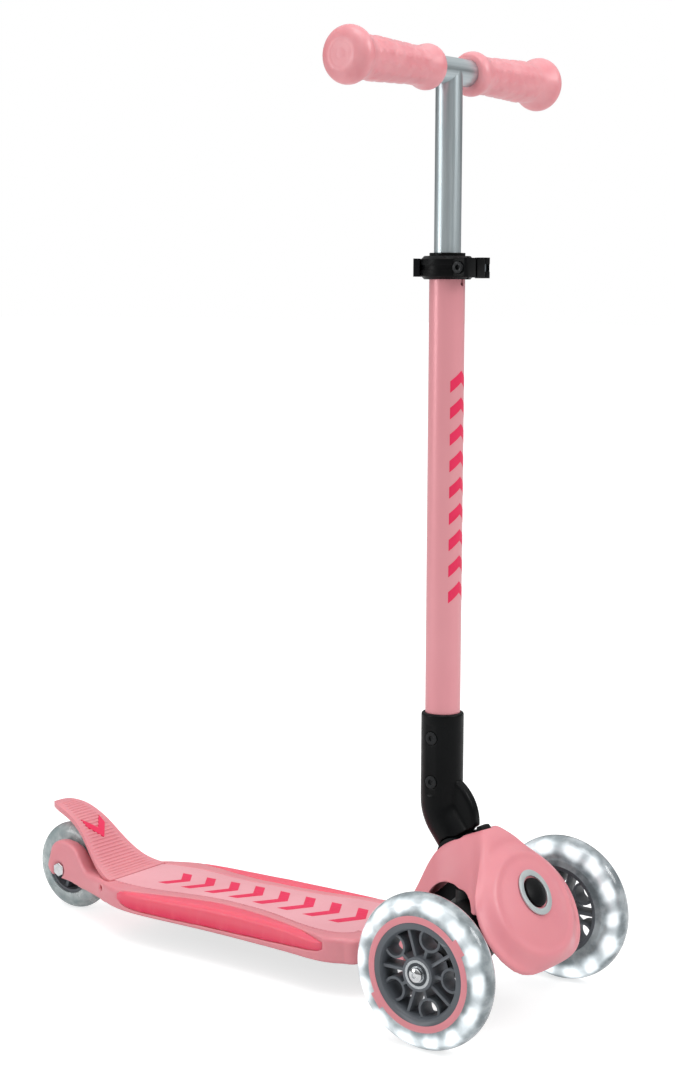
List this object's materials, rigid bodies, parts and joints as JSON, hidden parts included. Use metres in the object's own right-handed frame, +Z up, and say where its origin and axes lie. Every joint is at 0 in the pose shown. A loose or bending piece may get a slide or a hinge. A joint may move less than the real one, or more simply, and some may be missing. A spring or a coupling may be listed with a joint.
{
  "type": "kick scooter",
  "caption": "Child's lean-to-steer kick scooter: folding stem, height-adjustable T-bar, wide deck, clear light-up front wheels and a small rear wheel with a foot brake.",
  "frame": {"origin": "on the ground under the middle of the scooter's outline", "axes": "+Z up, -Y forward, +X to the rider's left"},
  "size_m": [0.2802, 0.5605, 0.7587],
  "materials": {
    "pink_plastic": "satin moulded",
    "pad": "matte grained",
    "coral_insert": "satin, slightly translucent",
    "black_plastic": "satin",
    "steel": "zinc plated",
    "chrome": "polished",
    "black_steel": "black oxide",
    "rubber": "matte",
    "bush_plastic": "plain",
    "silver_plastic": "satin silver",
    "clear_tyre": "clear urethane",
    "light_ring": "diffusing",
    "grey_hub": "satin",
    "pink_tube": "satin powder coat",
    "brushed_tube": "satin anodised",
    "grip": "soft translucent"
  },
  "bodies": {
    "root": {"deck_body": "pink_plastic", "deck_pad": "pad", "left_side_insert": "coral_insert", "right_side_insert": "coral_insert", "deck_underplate": "black_plastic", "deck_screws": "steel", "front_housing": "pink_plastic", "steering_frame": "black_plastic", "button_trim_ring": "silver_plastic", "lock_button_spring": "steel", "release_spring": "steel", "steering_pivot_bolt": "steel", "steering_pivot_nut": "steel", "fold_hinge_pin": "steel", "centring_bumpers": "rubber", "rear_axle_bolt": "chrome", "rear_axle_nut": "steel", "rear_axle_washers": "steel", "brake_hinge_pin": "steel"},
    "truck": {"truck": "black_plastic", "pivot_bushes": "bush_plastic", "front_left_axle_bolt": "chrome", "front_right_axle_bolt": "chrome"},
    "front_left_wheel": {"front_left_tyre": "clear_tyre", "front_left_trim_ring": "pink_plastic", "front_left_light_ring": "light_ring", "front_left_hub": "grey_hub", "front_left_bearings": "chrome", "front_left_spacer": "steel"},
    "front_right_wheel": {"front_right_tyre": "clear_tyre", "front_right_trim_ring": "pink_plastic", "front_right_light_ring": "light_ring", "front_right_hub": "grey_hub", "front_right_bearings": "chrome", "front_right_spacer": "steel"},
    "rear_wheel": {"rear_tyre": "clear_tyre", "rear_hub": "grey_hub", "rear_bearings": "chrome", "rear_bearing_spacer": "steel"},
    "stem": {"stem_elbow": "black_plastic", "elbow_bolts": "black_steel", "elbow_nuts": "black_steel", "hinge_bushes": "bush_plastic", "lower_tube": "pink_tube", "clamp_sleeve": "black_plastic", "clamp_collar": "black_plastic", "clamp_bolt": "black_steel", "clamp_barrel_nut": "steel"},
    "handlebar": {"handlebar_crossbar": "brushed_tube", "upper_tube": "brushed_tube", "upper_tube_bush": "black_plastic", "left_grip": "grip", "right_grip": "grip"},
    "clamp_lever": {"clamp_lever": "black_plastic"},
    "steering_lock_button": {"steering_lock_button": "black_plastic"},
    "fold_release_button": {"fold_release_button": "black_plastic"},
    "foot_brake": {"foot_brake": "pink_plastic", "brake_shoe": "rubber"}
  },
  "joints": [
    {"name": "steering_tilt", "type": "hinge", "parent": "root", "child": "truck", "pos_m": [0, -0.25375, 0.1033], "axis": [0, 0.848, -0.5299], "range_deg": [-15, 15], "stiffness_Nm_per_rad": 40, "deforming": ["centring_bumpers"]},
    {"name": "front_left_spin", "type": "hinge", "parent": "truck", "child": "front_left_wheel", "pos_m": [0.10185, -0.21975, 0.0605], "axis": [1, 0, 0], "continuous": true},
    {"name": "front_right_spin", "type": "hinge", "parent": "truck", "child": "front_right_wheel", "pos_m": [-0.10185, -0.21975, 0.0605], "axis": [1, 0, 0], "continuous": true},
    {"name": "rear_spin", "type": "hinge", "parent": "root", "child": "rear_wheel", "pos_m": [0, 0.24025, 0.04], "axis": [1, 0, 0], "continuous": true},
    {"name": "stem_fold", "type": "hinge", "parent": "root", "child": "stem", "pos_m": [0, -0.18775, 0.124], "axis": [-1, 0, 0], "range_deg": [0, 74]},
    {"name": "handlebar_height", "type": "slide", "parent": "stem", "child": "handlebar", "axis": [0, 0, 1], "range_m": [-0.1, 0]},
    {"name": "clamp_lever_swing", "type": "hinge", "parent": "stem", "child": "clamp_lever", "pos_m": [0.02, -0.18485, 0.587], "axis": [0, 0, -1], "range_deg": [0, 110]},
    {"name": "steering_lock_press", "type": "slide", "parent": "root", "child": "steering_lock_button", "axis": [0, 0.848, -0.5299], "range_m": [0, 0.004], "stiffness_N_per_m": 400, "springref_m": -0.003, "deforming": ["lock_button_spring"]},
    {"name": "fold_release_press", "type": "slide", "parent": "root", "child": "fold_release_button", "axis": [0, 0, -1], "range_m": [0, 0.004], "stiffness_N_per_m": 400, "springref_m": -0.003, "deforming": ["release_spring"]},
    {"name": "brake_press", "type": "hinge", "parent": "root", "child": "foot_brake", "pos_m": [0, 0.16925, 0.04], "axis": [-1, 0, 0], "range_deg": [0, 2.3], "stiffness_Nm_per_rad": 4, "springref_deg": -2.86}
  ]
}
